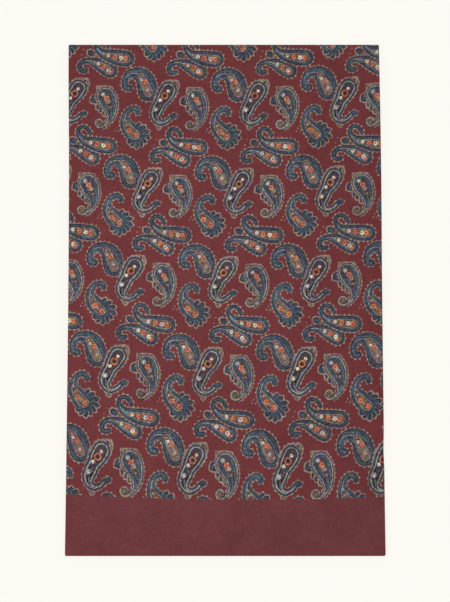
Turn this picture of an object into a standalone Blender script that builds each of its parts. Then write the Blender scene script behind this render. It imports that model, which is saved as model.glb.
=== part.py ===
"""A double silk scarf: one long printed tube, pressed flat and folded crosswise in three.

Lengths are in metres, +Z is up and the scarf lies on Z = 0. +Y runs from the closed end of the
front stretch, with its plain border, to the crosswise fold. The origin is under the middle of the
packet. Every stretch of the tube is two plies of silk pressed together, and is lofted from flat
rings that stand across it.
"""

import math

import bmesh
import bpy

# The folded packet
PACKET_LENGTH = 0.5168
STRETCH = 0.0013  # one stretch of the pressed tube, two plies thick
GAP = 0.0003  # between stretches, and at each seam between solids
FOLD_SETBACK = 0.0016  # how far the lower fold stays inside the closed end

# The pressed side edges of the front stretch, from the closed end (0) to the crosswise fold (1)
SIDE_EDGES = (
    # along, left, right
    (0.00, -0.15295, 0.15595),
    (0.25, -0.15410, 0.15715),
    (0.50, -0.15565, 0.15865),
    (0.75, -0.15805, 0.16065),
    (1.00, -0.16135, 0.16135),
)
UNDER_INSET = 0.0009  # the stretches below lie a little inside the front one
INNER_INSET = 0.0022
END_CORNER = 0.0028  # radius of the closed end's corners

# How the top of the packet swells over the hidden layers
CROWN = 0.0008
EDGE_EASE = 0.055  # the swell rises over this distance from each edge
TROUGHS = (
    # x, y, length, width, turn in degrees, depth
    (-0.085, -0.120, 0.230, 0.060, 82.0, 0.00035),
    (0.060, 0.010, 0.260, 0.075, 97.0, 0.00040),
    (-0.030, 0.165, 0.200, 0.055, 12.0, 0.00030),
    (0.095, -0.170, 0.150, 0.050, -18.0, 0.00025),
)

# Fineness of the solids
COLUMNS = 18
EDGE_STEPS = 3  # per quarter of a rounded side edge
STATIONS = 26
FOLD_STEPS = 8
END_STEPS = 4

HALF = PACKET_LENGTH / 2
UNDER_MID = STRETCH / 2
INNER_MID = UNDER_MID + STRETCH + GAP
FRONT_MID = INNER_MID + STRETCH + GAP
TOP_TURN = (FRONT_MID - UNDER_MID) / 2
LOWER_TURN = (INNER_MID - UNDER_MID) / 2
TOP_TURN_Y = HALF - STRETCH / 2 - TOP_TURN
LOWER_TURN_Y = -HALF + FOLD_SETBACK + STRETCH / 2 + LOWER_TURN

SILK_RED = (0.165, 0.042, 0.042)
SILK_SHADE = (0.120, 0.030, 0.032)
SILK_PRINT = (0.085, 0.075, 0.095)


def clear_scene():
    for thing in list(bpy.data.objects):
        bpy.data.objects.remove(thing, do_unlink=True)


def smooth(share):
    """Eases from 0 to 1, with no slope at either end."""
    share = min(max(share, 0.0), 1.0)
    return share * share * (3 - 2 * share)


def side_edge(y, column):
    """X of the left (column 1) or right (column 2) edge at y, on a smooth curve through the table."""
    along = min(max((y + HALF) / PACKET_LENGTH, 0.0), 1.0)
    last = len(SIDE_EDGES) - 1
    row = min(int(along * last), last - 1)
    share = along * last - row
    before, a, b, after = (
        SIDE_EDGES[min(max(row + step, 0), last)][column] for step in (-1, 0, 1, 2)
    )
    leave, arrive = (b - before) / 2, (after - a) / 2
    square, cube = share * share, share**3
    return (
        a * (2 * cube - 3 * square + 1)
        + leave * (cube - 2 * square + share)
        + b * (3 * square - 2 * cube)
        + arrive * (cube - square)
    )


def swell(x, y):
    """Height that the cloth on top gains at a place, from the crown less the soft troughs."""
    left, right = side_edge(y, 1), side_edge(y, 2)
    rise = smooth((x - left) / EDGE_EASE) * smooth((right - x) / EDGE_EASE)
    rise *= smooth((y + HALF) / EDGE_EASE) * smooth((HALF - 0.008 - y) / EDGE_EASE)
    depth = 0.0
    for middle_x, middle_y, length, width, turn, deep in TROUGHS:
        along, across = math.cos(math.radians(turn)), math.sin(math.radians(turn))
        dx, dy = x - middle_x, y - middle_y
        run = (dx * along + dy * across) / (length / 2)
        off = (dy * along - dx * across) / (width / 2)
        depth += deep * math.exp(-(run * run) - off * off)
    return rise * (CROWN - depth)


def ring(y, z, lean, left, right, thick, lift_top=0.0, lift_bottom=0.0):
    """Points round a stretch at one place along it.

    lean is the angle of its outward side from straight up, turned towards +Y. The lifts scale the
    swell on the outward and inward sides.
    """
    radius = thick / 2
    count = 2 * EDGE_STEPS
    steps = [math.pi / 2 * i / EDGE_STEPS for i in range(EDGE_STEPS + 1)]
    upper = [(left + radius - radius * math.cos(a), radius * math.sin(a)) for a in steps]
    for i in range(1, COLUMNS):
        upper.append((left + radius + (right - left - thick) * i / COLUMNS, radius))
    upper += [(right - radius + radius * math.sin(a), radius * math.cos(a)) for a in steps]
    lower = [(x, -out) for x, out in reversed(upper[1:-1])]
    points = []
    for number, (x, out) in enumerate(upper + lower):
        lift = lift_top if out > 0 else lift_bottom
        if out == 0 or number in (0, len(upper) - 1):
            lift = 0.0
        py = y + out * math.sin(lean)
        pz = z + out * math.cos(lean)
        points.append((x, py, pz + lift * swell(x, py)))
    assert len(points) == 2 * (COLUMNS + count)
    return points


def loft(name, rings, colour):
    """One closed solid through the rings, which all have the same number of points."""
    mesh = bpy.data.meshes.new(name)
    shape = bmesh.new()
    rows = [[shape.verts.new(point) for point in points] for points in rings]
    count = len(rows[0])
    for first, second in zip(rows, rows[1:]):
        for i in range(count):
            j = (i + 1) % count
            shape.faces.new((first[i], first[j], second[j], second[i]))
    for row in (rows[0], rows[-1]):
        for i in range(count // 2):
            corners = [row[i], row[i + 1], row[count - i - 1], row[-i % count]]
            shape.faces.new(list(dict.fromkeys(corners)))
    bmesh.ops.recalc_face_normals(shape, faces=shape.faces)
    shape.to_mesh(mesh)
    shape.free()
    mesh.shade_smooth()
    mesh.set_sharp_from_angle(angle=math.radians(50))
    solid = bpy.data.objects.new(name, mesh)
    bpy.context.scene.collection.objects.link(solid)
    mesh.materials.append(silk(name, colour))
    return solid


def silk(name, colour):
    material = bpy.data.materials.new(name + "_silk")
    material.use_nodes = True
    shader = material.node_tree.nodes["Principled BSDF"]
    shader.inputs["Base Color"].default_value = (*colour, 1)
    shader.inputs["Roughness"].default_value = 0.55
    shader.inputs["Metallic"].default_value = 0.0
    return material


def spread(start, end, count):
    return [start + (end - start) * i / count for i in range(count + 1)]


def inset_at(y, inset):
    """Inset of a lower layer, which fades out at the crosswise fold that it shares with the front."""
    return inset * (1 - smooth((y - HALF + 0.12) / 0.12))


def front_stretch():
    """The end of the tube that lies on top, with a rounded closed end."""
    rings = []
    for i in range(1, END_STEPS + 1):
        turn = math.pi / 2 * i / END_STEPS
        y = -HALF + END_CORNER * (1 - math.cos(turn))
        inset = END_CORNER * (1 - math.sin(turn))
        thick = STRETCH * (0.35 + 0.65 * math.sin(turn))
        rings.append(
            ring(y, FRONT_MID, 0, side_edge(y, 1) + inset, side_edge(y, 2) - inset, thick, 1, 1)
        )
    for y in spread(-HALF + END_CORNER, TOP_TURN_Y - GAP, STATIONS)[1:]:
        rings.append(ring(y, FRONT_MID, 0, side_edge(y, 1), side_edge(y, 2), STRETCH, 1, 1))
    return loft("front_stretch", rings, SILK_RED)


def top_fold():
    """The half turn from the front stretch down to the under stretch."""
    rings = []
    middle = (FRONT_MID + UNDER_MID) / 2
    for lean in spread(0, math.pi, FOLD_STEPS):
        y = TOP_TURN_Y + TOP_TURN * math.sin(lean)
        z = middle + TOP_TURN * math.cos(lean)
        rings.append(ring(y, z, lean, side_edge(y, 1), side_edge(y, 2), STRETCH))
    return loft("top_fold", rings, SILK_PRINT)


def under_stretch():
    """The middle of the tube, flat on the surface."""
    rings = []
    for y in spread(LOWER_TURN_Y + GAP, TOP_TURN_Y - GAP, STATIONS // 2):
        inset = inset_at(y, UNDER_INSET)
        rings.append(
            ring(y, UNDER_MID, 0, side_edge(y, 1) + inset, side_edge(y, 2) - inset, STRETCH)
        )
    return loft("under_stretch", rings, SILK_PRINT)


def lower_fold():
    """The half turn from the under stretch up into the hidden end."""
    rings = []
    middle = (INNER_MID + UNDER_MID) / 2
    for lean in spread(-math.pi, 0, FOLD_STEPS):
        y = LOWER_TURN_Y + LOWER_TURN * math.sin(lean)
        z = middle + LOWER_TURN * math.cos(lean)
        left, right = side_edge(y, 1) + UNDER_INSET, side_edge(y, 2) - UNDER_INSET
        rings.append(ring(y, z, lean, left, right, STRETCH))
    return loft("lower_fold", rings, SILK_SHADE)


def inner_layers():
    """The hidden end of the tube, thicker towards the middle, where the packet swells."""
    rings = []
    free_end = TOP_TURN_Y - 0.006
    for y in spread(LOWER_TURN_Y + GAP, free_end, STATIONS):
        inset = INNER_INSET - (INNER_INSET - UNDER_INSET) * (1 - smooth((y + HALF) / 0.03))
        left, right = side_edge(y, 1) + inset, side_edge(y, 2) - inset
        rings.append(ring(y, INNER_MID, 0, left, right, STRETCH, 1, 0))
    return loft("inner_layers", rings, SILK_SHADE)


clear_scene()
packet = bpy.data.objects.new("scarf", None)
bpy.context.scene.collection.objects.link(packet)
for build in (front_stretch, top_fold, under_stretch, lower_fold, inner_layers):
    build().parent = packet
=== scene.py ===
# %% [markdown]
# # A silk scarf with a paisley print, folded in three
#
# The real thing is one long tube of printed silk. It is sewn down its back, turned in and closed at both
# ends, pressed flat, and then folded like a letter: the middle lies on the table, the hidden end is
# folded over it, and the end with the plain border lies on top.
#
# A cloth like this can be made by dropping a simulated sheet, by modelling a slab and giving it a
# picture, or by cutting a flat cloth and folding it by rule. The last way is used here. It gives the true
# shape of a pressed fold, and it lets the print be drawn as a printer draws it: as flat shapes of colour
# on the cloth, before the cloth is folded.

# %% The frame
import math

import bmesh
import bpy
import numpy as np
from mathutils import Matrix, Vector
from mathutils.geometry import delaunay_2d_cdt


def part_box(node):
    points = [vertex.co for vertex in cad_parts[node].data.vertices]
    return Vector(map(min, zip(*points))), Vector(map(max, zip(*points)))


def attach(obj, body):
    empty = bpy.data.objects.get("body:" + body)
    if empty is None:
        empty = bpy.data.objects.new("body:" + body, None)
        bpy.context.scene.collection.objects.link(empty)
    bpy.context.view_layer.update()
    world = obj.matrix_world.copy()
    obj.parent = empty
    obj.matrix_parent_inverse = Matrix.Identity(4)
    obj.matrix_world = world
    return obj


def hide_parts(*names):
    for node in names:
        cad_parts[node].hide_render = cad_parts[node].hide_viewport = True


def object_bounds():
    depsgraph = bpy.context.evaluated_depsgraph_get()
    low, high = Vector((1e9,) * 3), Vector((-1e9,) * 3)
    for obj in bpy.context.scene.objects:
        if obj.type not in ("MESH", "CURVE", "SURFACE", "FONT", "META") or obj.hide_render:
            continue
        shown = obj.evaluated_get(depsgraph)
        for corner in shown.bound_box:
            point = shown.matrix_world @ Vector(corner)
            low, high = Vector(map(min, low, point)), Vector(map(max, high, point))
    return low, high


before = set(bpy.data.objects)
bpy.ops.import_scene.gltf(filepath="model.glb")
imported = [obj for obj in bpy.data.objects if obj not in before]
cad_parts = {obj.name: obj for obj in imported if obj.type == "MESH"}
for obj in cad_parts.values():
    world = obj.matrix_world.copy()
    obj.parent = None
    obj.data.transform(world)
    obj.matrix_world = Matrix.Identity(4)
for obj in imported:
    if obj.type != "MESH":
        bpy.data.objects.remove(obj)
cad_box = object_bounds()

bpy.ops.object.select_all(action="DESELECT")
print("CAD box in mm:", [[round(1000 * value, 1) for value in corner] for corner in cad_box])

# %% [markdown]
# ## The path of the folded tube
#
# Every stretch of the pressed tube is two layers of silk. Seen from the side, its middle runs along the
# front, turns half round at the top, comes back underneath, turns half round again at the bottom and
# ends between the two. One function that follows that path is enough to place any point of the cloth.
# Its heights and turns are read from the frame's solids, so that the cloth lies where they do.

# %% Heights and turns
front_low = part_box("front_stretch")[0]
under_low, under_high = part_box("under_stretch")
inner_low, inner_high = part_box("inner_layers")

HALF_TUBE = (under_high.z - under_low.z) / 2  # half the thickness of the pressed tube
FRONT_Z = front_low.z + HALF_TUBE
UNDER_Z = under_low.z + HALF_TUBE
INNER_Z = inner_low.z + HALF_TUBE
TOP_RADIUS = (FRONT_Z - UNDER_Z) / 2
LOWER_RADIUS = (INNER_Z - UNDER_Z) / 2

HEM_Y = front_low.y
TOP_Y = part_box("top_fold")[0].y
LOWER_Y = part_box("lower_fold")[1].y
INNER_END_Y = inner_high.y

FRONT_RUN = TOP_Y - HEM_Y
TOP_ARC = math.pi * (TOP_RADIUS + HALF_TUBE)  # measured on the printed outside
UNDER_RUN = TOP_Y - LOWER_Y
LOWER_ARC = math.pi * (LOWER_RADIUS + HALF_TUBE)
INNER_RUN = INNER_END_Y - LOWER_Y
TOP_START, TOP_END, LOWER_START, LOWER_END, TUBE_LENGTH = np.cumsum(
    [FRONT_RUN, TOP_ARC, UNDER_RUN, LOWER_ARC, INNER_RUN]
)
print(f"the tube is {1000 * TUBE_LENGTH:.0f} mm long and {2000 * HALF_TUBE:.2f} mm thick")


def tube_path(along):
    """The middle of the pressed tube: y, z, and how far its printed side leans over from straight up."""
    top = np.clip((along - TOP_START) / TOP_ARC, 0, 1) * math.pi
    lower = np.clip((along - LOWER_START) / LOWER_ARC, 0, 1) * math.pi
    y = HEM_Y + np.minimum(along, FRONT_RUN) + TOP_RADIUS * np.sin(top) - LOWER_RADIUS * np.sin(lower)
    y = y - np.clip(along - TOP_END, 0, UNDER_RUN) + np.clip(along - LOWER_END, 0, INNER_RUN)
    z = FRONT_Z - TOP_RADIUS * (1 - np.cos(top)) + LOWER_RADIUS * (1 - np.cos(lower))
    return y, z, top + lower


# %% [markdown]
# The side edges are pressed folds, and they aren't quite straight: the scarf is a little wider at the top.
# Their line is read from the rings of the front solid. The layers below lie a little inside it, and
# wander by a fraction of a millimetre, as hand-folded layers do.

# %% Side edges
END_CORNER = 0.0018  # radius of the corners at the closed ends
CORNER_ROWS = 0.0025  # the solid's rings are read from here up, clear of its own corners
RING_DECIMALS = 5  # points of one ring have the same y to a hundredth of a mm
UNDER_SETBACK = 0.0009
INNER_SETBACK = 0.0022
UNDER_EASE = 0.12  # the under stretch comes out to the top fold over this length
INNER_EASE = 0.03  # the hidden end draws in from the lower fold over this length
FOLD_EASE = 0.02  # the layers below begin to draw in and wander over this length
WANDER = 0.00022
WAVES = ((23, 1.0), (51, 0.4))  # radians to the metre, and where in its turn each wave starts
RIGHT_WANDER = 0.8  # how far the right edge wanders, against the left one


def smooth(share):
    share = np.clip(share, 0.0, 1.0)
    return share * share * (3 - 2 * share)


def ring_edges(node, low_y):
    """The y, left x and right x of each ring of a flat CAD stretch."""
    points = np.array([corner.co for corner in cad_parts[node].data.vertices])
    rows = np.round(points[:, 1], RING_DECIMALS)
    kept = [y for y in np.unique(rows) if y > low_y]
    return np.array([(y, points[rows == y, 0].min(), points[rows == y, 0].max()) for y in kept])


edge_rings = ring_edges("front_stretch", HEM_Y + CORNER_ROWS)


def ring_sides(y):
    """Left and right x of the front solid."""
    return [np.interp(y, edge_rings[:, 0], edge_rings[:, column]) for column in (1, 2)]


def side_edges(along, y):
    """Left and right x of the tube at a place along it."""
    left, right = ring_sides(y)
    under = UNDER_SETBACK * (1 - smooth((y - TOP_Y + UNDER_EASE) / UNDER_EASE))
    inner = UNDER_SETBACK + (INNER_SETBACK - UNDER_SETBACK) * smooth((y - LOWER_Y) / INNER_EASE)
    below = smooth((along - TOP_END) / FOLD_EASE)
    back = np.where(along > LOWER_START, inner, under) * below
    waver = WANDER * below * sum(np.sin(rate * y + start) for rate, start in WAVES)
    return left + back + waver, right - back + RIGHT_WANDER * waver


FLAT_HALF = float(np.mean(edge_rings[:, 2] - edge_rings[:, 1])) / 2 - HALF_TUBE
SIDE_ARC = math.pi * HALF_TUBE
ROUND_HALF = 2 * FLAT_HALF + SIDE_ARC  # half of the way round the tube
print(f"pressed width {2000 * (FLAT_HALF + HALF_TUBE):.1f} mm, all round {2000 * ROUND_HALF:.1f} mm")

# %% [markdown]
# ## From the flat cloth to the folded one
#
# A place on the flat cloth has two numbers: how far it is across from the middle of the printed face,
# and how far along from the end. The cloth is bent twice. Across, it runs flat to the side edge, turns
# round it on a radius of half the tube's thickness and comes back underneath to the long seam. Along, it
# follows the path above. Closed ends taper to a round nose, with small round corners.
#
# The top of the packet isn't a plane. It swells a little over the layers inside, less a few soft, uneven
# troughs that pressing leaves. A formula is better here than sculpting, because the solids used for
# collision follow the same one.

# %% Swell and soft troughs
CROWN = 0.0008
CROWN_TOP = -HEM_Y - 0.008  # the y where the crown ends, just short of the top fold
EDGE_EASE = 0.055
TROUGHS = (
    # x, y, length, width, turn in degrees, depth
    (-0.085, -0.120, 0.230, 0.060, 82.0, 0.00035),
    (0.060, 0.010, 0.260, 0.075, 97.0, 0.00040),
    (-0.030, 0.165, 0.200, 0.055, 12.0, 0.00030),
    (0.095, -0.170, 0.150, 0.050, -18.0, 0.00025),
)


def direction(degrees):
    """A unit step that way, counted to the left from the x axis."""
    return np.array([math.cos(math.radians(degrees)), math.sin(math.radians(degrees))])


def swell(x, y):
    """Height that the cloth on top gains, from the crown less the soft troughs."""
    left, right = ring_sides(y)
    rise = smooth((x - left) / EDGE_EASE) * smooth((right - x) / EDGE_EASE)
    rise = rise * smooth((y - HEM_Y) / EDGE_EASE) * smooth((CROWN_TOP - y) / EDGE_EASE)
    height = np.full(np.shape(x), CROWN)
    for middle_x, middle_y, length, width, turn, deep in TROUGHS:
        along, across = direction(turn)
        run = ((x - middle_x) * along + (y - middle_y) * across) / (length / 2)
        off = ((y - middle_y) * along - (x - middle_x) * across) / (width / 2)
        height = height - deep * np.exp(-(run**2) - off**2)
    return rise * height


# %% Folding
NOSE = 0.0011  # over which a closed end rounds to its full thickness
END_DEPTHS = 1.5  # how far from a closed end the inside of the silk stays, in depths


def fold(across, along, depth):
    """Places points of the flat cloth in space; depth is how far inside the outer skin they are."""
    y, z, lean = tube_path(along)
    left, right = side_edges(along, y)
    from_end = np.maximum(np.minimum(along, TUBE_LENGTH - along) - END_DEPTHS * depth, 0)
    nose = np.clip(1 - from_end / NOSE, 0, 1)
    corner = np.clip(1 - from_end / END_CORNER, 0, 1)
    tuck = END_CORNER * (1 - np.sqrt(1 - corner**2))
    radius = HALF_TUBE - depth
    half = (right - left) / 2 - HALF_TUBE - tuck
    beyond = np.abs(across) - FLAT_HALF
    turn = np.clip(beyond / SIDE_ARC, 0, 1) * math.pi
    back = np.maximum(beyond - SIDE_ARC, 0)
    reach = half * (FLAT_HALF + np.minimum(beyond, 0) - back) / FLAT_HALF + radius * np.sin(turn)
    x = (left + right) / 2 + np.sign(across) * reach
    out = radius * np.sqrt(1 - nose**2) * np.cos(turn)
    lifted = (along < TOP_END) | ((along > LOWER_END) & (out > 0))
    lift = np.where(lifted, swell(x, y), 0.0)
    return np.column_stack([x, y + out * np.sin(lean), z + out * np.cos(lean) + lift])


# %% [markdown]
# ## Drawing the paisley print
#
# A paisley is a leaf with a round head and a tail that curls more and more tightly. It could be drawn
# from a list of outline points, but it is easier to change as a walk, like the one sweep of a pen: so
# many millimetres ahead while turning so many degrees, in a few steps. The walk is the leaf's
# spine. A width that tapers from head to tail turns the spine into an outline, and the same outline,
# grown or shrunk, gives the dark lines, bands and scalloped edging that lie inside one another.
#
# All of this is in millimetres on the flat cloth. Shapes are kept in the order of printing: each
# colour covers what was printed before it.

# %% Printing inks
INKS = {
    # name: colour on the cloth, as 0 to 255
    "ground": (111, 54, 56),
    "border": (109, 58, 61),
    "line": (50, 43, 47),
    "tan": (141, 121, 114),
    "stone": (126, 112, 108),
    "grey": (148, 139, 135),
    "cream": (204, 191, 177),
    "olive": (108, 92, 80),
    "navy": (65, 68, 80),
    "blue": (68, 80, 94),
    "azure": (90, 101, 113),
    "teal": (63, 77, 90),
    "plum": (82, 62, 64),
    "umber": (104, 78, 66),
    "orange": (190, 112, 86),
    "rust": (132, 62, 50),
}
INK_NUMBERS = {name: number for number, name in enumerate(INKS)}
print(len(INKS), "inks:", ", ".join(INKS))

# %% Lines: walks, spines and places on them
STEP = 1.5  # mm between the points of a spine
NEAREST = 0.3  # mm; a spine's point nearer than this to a new end of it is left out


def walk(place, heading, arcs):
    """Points along a chain of arcs, each a length in mm and the degrees that it turns to the left."""
    points = [np.array(place)]
    for length, turn in arcs:
        steps = max(1, round(length / STEP))
        for _ in range(steps):
            heading += turn / steps / 2
            points.append(points[-1] + length / steps * direction(heading))
            heading += turn / steps / 2
    return np.array(points)


def distances(line):
    """How far each point of a line is from its start."""
    return np.concatenate(([0.0], np.cumsum(np.linalg.norm(np.diff(line[:, :2], axis=0), axis=1))))


def leftwards(line):
    """Unit vectors to the left of a line, one at each of its points."""
    run = np.gradient(line[:, :2], axis=0)
    run /= np.linalg.norm(run, axis=1)[:, None]
    return np.stack([-run[:, 1], run[:, 0]], 1)


def leaf_spine(place, heading, arcs, head, tail, shoulder, neck):
    """Columns x, y, half-width: the head's width as far as the shoulder, the tail's from the neck on."""
    line = walk(place, heading, arcs)
    taper = smooth((distances(line) - shoulder) / (neck - shoulder))
    return np.column_stack([line, head + (tail - head) * taper])


def part_of(spine, start, end):
    """The stretch of a spine between two distances from its head."""
    stops = distances(spine)
    inside = stops[(stops > start + NEAREST) & (stops < end - NEAREST)]
    kept = np.concatenate(([start], inside, [end]))
    return np.column_stack([np.interp(kept, stops, spine[:, column]) for column in range(3)])


def at(spine, along, across):
    """A place on a spine: so far from its start, or before it if negative, and so far to the left."""
    stops, left = distances(spine), leftwards(spine)
    x, y, left_x, left_y = (
        np.interp(along, stops, values) for values in (spine[:, 0], spine[:, 1], left[:, 0], left[:, 1])
    )
    before = min(along, 0.0)
    return x + left_x * across + left_y * before, y + left_y * across - left_x * before


# %% Outlines: bodies, scallops, strokes and small shapes
THINNEST = 0.25  # mm, the least half width of a body
STRAIGHT = 0.14  # mm; a point this close to a straight run is left out
LONGEST = 8.0  # mm of outline without a point
NEVER_ZERO = 1e-9  # added to a length that is divided by
HEAD_STEPS = (4, 1.6)  # least number of steps round a head, and steps to each mm of its radius
TAIL_STEPS = (3, 1.5)
SPOT_TURN = 0.6  # radians, where the corners of a spot start
BLOSSOM_TURN = 0.3
BLOSSOM_DIP = 0.74  # where two petals of a blossom meet, as a share of its radius
PETAL_POINTS = 6  # along its middle
PETAL_FULLEST = 1.1  # over 1, a petal is fullest beyond its middle
PETAL_ROUNDNESS = 0.8  # under 1, a petal's sides are rounder


def round_end(centre, start, radius, rule):
    steps = max(rule[0], int(radius * rule[1]))
    first = math.atan2(start[1], start[0])
    angles = [first + math.pi * i / steps for i in range(1, steps)]
    return [(centre[0] + radius * math.cos(a), centre[1] + radius * math.sin(a)) for a in angles]


def thinned(outline):
    """Leaves out the points that a nearly straight run doesn't need."""
    kept, anchor, count = [outline[0]], 0, len(outline)
    for i in range(2, count + 1):
        a, b = outline[anchor], outline[i % count]
        run = b - a
        length = math.hypot(*run) + NEVER_ZERO
        between = outline[anchor + 1 : i] - a
        off = np.abs(run[0] * between[:, 1] - run[1] * between[:, 0]) / length
        if off.max() > STRAIGHT or length > LONGEST:
            kept.append(outline[i - 1])
            anchor = i - 1
    return np.array(kept)


def body(spine, grow):
    """The outline of a leaf, grown or shrunk all round, with round ends."""
    left = leftwards(spine)
    wide = np.maximum(spine[:, 2] + grow, THINNEST)
    one = spine[:, :2] + left * wide[:, None]
    other = spine[:, :2] - left * wide[:, None]
    head = round_end(spine[0], left[0], wide[0], HEAD_STEPS)
    tail = round_end(spine[-1], -left[-1], wide[-1], TAIL_STEPS)
    return thinned(np.array([*one[::-1], *head, *other, *tail]))


def outwards(outline):
    run = np.roll(outline, -1, 0) - np.roll(outline, 1, 0)
    run /= np.linalg.norm(run, axis=1)[:, None] + NEVER_ZERO
    x, y = outline[:, 0], outline[:, 1]
    turning = np.sign(np.sum(x * np.roll(y, -1) - np.roll(x, -1) * y))
    return np.stack([run[:, 1], -run[:, 0]], 1) * turning


def scalloped(outline, pitch, height):
    """An outline with small points all round, as a lace edging has."""
    closed = np.vstack([outline, outline[:1]])
    stops = distances(closed)
    count = 3 * round(stops[-1] / pitch)
    places = np.arange(count) * stops[-1] / count
    points = np.column_stack([np.interp(places, stops, closed[:, column]) for column in range(2)])
    rise = np.resize((0.0, height, 0.0), count)
    return points + outwards(points) * rise[:, None]


def stroke(line, width):
    left = leftwards(line) * width / 2
    return np.vstack([line[:, :2] + left, (line[:, :2] - left)[::-1]])


def round_about(x, y, count, turn, reach):
    """Points all round a place, from an angle on, at one distance or at a distance each."""
    angles = turn + np.arange(count) * 2 * math.pi / count
    return np.stack([x + reach * np.cos(angles), y + reach * np.sin(angles)], 1)


def spot(x, y, radius, corners=4):
    return round_about(x, y, corners, SPOT_TURN, radius)


def blossom(x, y, radius, petals):
    reach = radius * np.resize((BLOSSOM_DIP, 1.0, 1.0), petals * 3)
    return round_about(x, y, petals * 3, BLOSSOM_TURN, reach)


def petal(x, y, heading, length, half):
    """A pointed oval that sets off from (x, y)."""
    share = np.linspace(0, 1, PETAL_POINTS)
    run = direction(heading)
    side = np.array([-run[1], run[0]])
    wide = half * np.sin(math.pi * share**PETAL_FULLEST) ** PETAL_ROUNDNESS
    middle = np.array([x, y]) + np.outer(share * length, run)
    return np.vstack([middle + np.outer(wide, side), (middle - np.outer(wide, side))[::-1][1:-1]])


# %% [markdown]
# Each of the next functions gives a list of shapes, an ink and an outline each, in the order of printing.
# Where one takes layers, each layer covers the one before it, so a line round a leaf is a dark shape with
# a smaller, lighter one on top. In this way no shape needs a hole in it.

# %% What goes on a leaf: layers, edgings, flowers and beads
HEART = 0.34  # a flower's heart, as a share of its radius
HEART_CORNERS = 5
EDGING = {"grow": 1.1, "pitch": 4.4, "height": 1.6}  # mm
EDGING_LINE = 0.55
LINE_WIDTH = 0.9
GLEAM_POINTS = 5
BUD_LAYERS = (("tan", 1.6, 1.2), ("line", -0.2, 0.0), ("teal", -1.4, -1.0))  # ink, longer, wider


def layered(spine, *layers):
    """Outlines round one spine, each an ink and how far it is grown."""
    return [(ink, body(spine, grow)) for ink, grow in layers]


def petals(x, y, heading, *layers):
    """Petals on one stalk, each an ink, a length and a half width."""
    return [(ink, petal(x, y, heading, length, half)) for ink, length, half in layers]


def rings(x, y, *layers):
    """Round spots with one centre, each an ink, a radius and a number of corners."""
    return [(ink, spot(x, y, radius, corners)) for ink, radius, corners in layers]


def picots(spine, grow, pitch, height):
    """A tan outline with small points on it, like a picot edge."""
    return [("tan", scalloped(body(spine, grow), pitch, height))]


def edging(spine):
    """The usual picots, and the dark line inside them."""
    return picots(spine, **EDGING) + layered(spine, ("line", EDGING_LINE))


def flowers(spine, rows):
    """Flowers along a spine, from a table of their colours, petals, radius and place."""
    shapes = []
    for colour, heart, count, radius, along, across in rows:
        x, y = at(spine, along, across)
        shapes.append((colour, blossom(x, y, radius, count)))
        shapes.append((heart, spot(x, y, radius * HEART, HEART_CORNERS)))
    return shapes


def beads(spine, colour, radius, gap, start, end, across):
    """A row of beads beside a spine."""
    count = max(1, round((end - start) / gap))
    places = [start + (end - start) * i / count for i in range(count + 1)]
    return [(colour, spot(*at(spine, place, across), radius)) for place in places]


def gleam(spine, start, end, across_start, across_end, width=LINE_WIDTH):
    """A pale blue line beside a spine, which drifts from one distance off it to another."""
    share = np.linspace(0, 1, GLEAM_POINTS)
    places = zip(start + (end - start) * share, across_start + (across_end - across_start) * share)
    line = np.array([at(spine, along, across) for along, across in places])
    return [("azure", stroke(line, width))]


def vein(spine, start, end, width=LINE_WIDTH):
    """A grey line along a spine."""
    return [("grey", stroke(part_of(spine, start, end), width))]


def bud(x, y, heading, length, half):
    """A small pointed leaf with a tan edge and a dark line."""
    layers = [(ink, length + longer, half + wider) for ink, longer, wider in BUD_LAYERS]
    return petals(x, y, heading, *layers)


# %% [markdown]
# The repeat has six leaves: a hooked one, a ringed one with a hood, a crested one with petals round its
# head, a curled one with a flowery bank, and a pair that lie on each other. The tables below chart
# each one: where its head is, which way it sets off, and how it turns.

# %% The hooked leaf
def hooked_leaf():
    arcs = ((10.3, 12), (9.8, 42), (8, 36), (8.2, 58), (8, 30), (4.5, 75), (2, 40))
    spine = leaf_spine((-17.7, 22.9), 98, arcs, 9.4, 2.8, 8, 38)
    core = leaf_spine((-17.2, 22.0), 112, ((9, 2), (10.5, 12)), 4.7, 3.2, 4, 18)
    shapes = edging(spine) + layered(spine, ("blue", -0.5))
    shapes += layered(part_of(spine, 0, 32), ("navy", -1.9))
    shapes += gleam(spine, 3, 44, 6.7, 1.4) + gleam(spine, 0, 40, -6.7, -1.7)
    shapes += layered(core, ("tan", 0.0), ("umber", -0.8)) + vein(spine, 23, 34)
    for across in (2.3, -2.3):
        shapes += beads(core, "tan", 0.95, 2.4, -1, 17, across)
    shapes += beads(spine, "tan", 0.7, 3.6, 36, 50, -0.4)
    shapes += flowers(core, (
        # petals, heart, how many, radius, along, across
        ("stone", "olive", 5, 1.7, -1.8, -0.2),
        ("tan", "cream", 5, 2.9, 2.8, -0.5),
        ("stone", "olive", 4, 1.7, 6.8, -0.6),
        ("orange", "rust", 5, 2.7, 11.0, -1.2),
        ("cream", "olive", 4, 1.7, 15.1, 0.9),
        ("tan", "cream", 4, 1.2, 18.8, 0.2),
    ))
    return shapes


# %% The ringed leaf, with its hood
RINGED_LAYERS = (  # ink, how far it is grown, and where on the spine it ends
    ("line", 1.2, 56.5),
    ("teal", 0.6, 56.5),
    ("line", -0.4, 52),
    ("grey", -0.7, 51),
    ("line", -1.95, 36),
)


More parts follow.
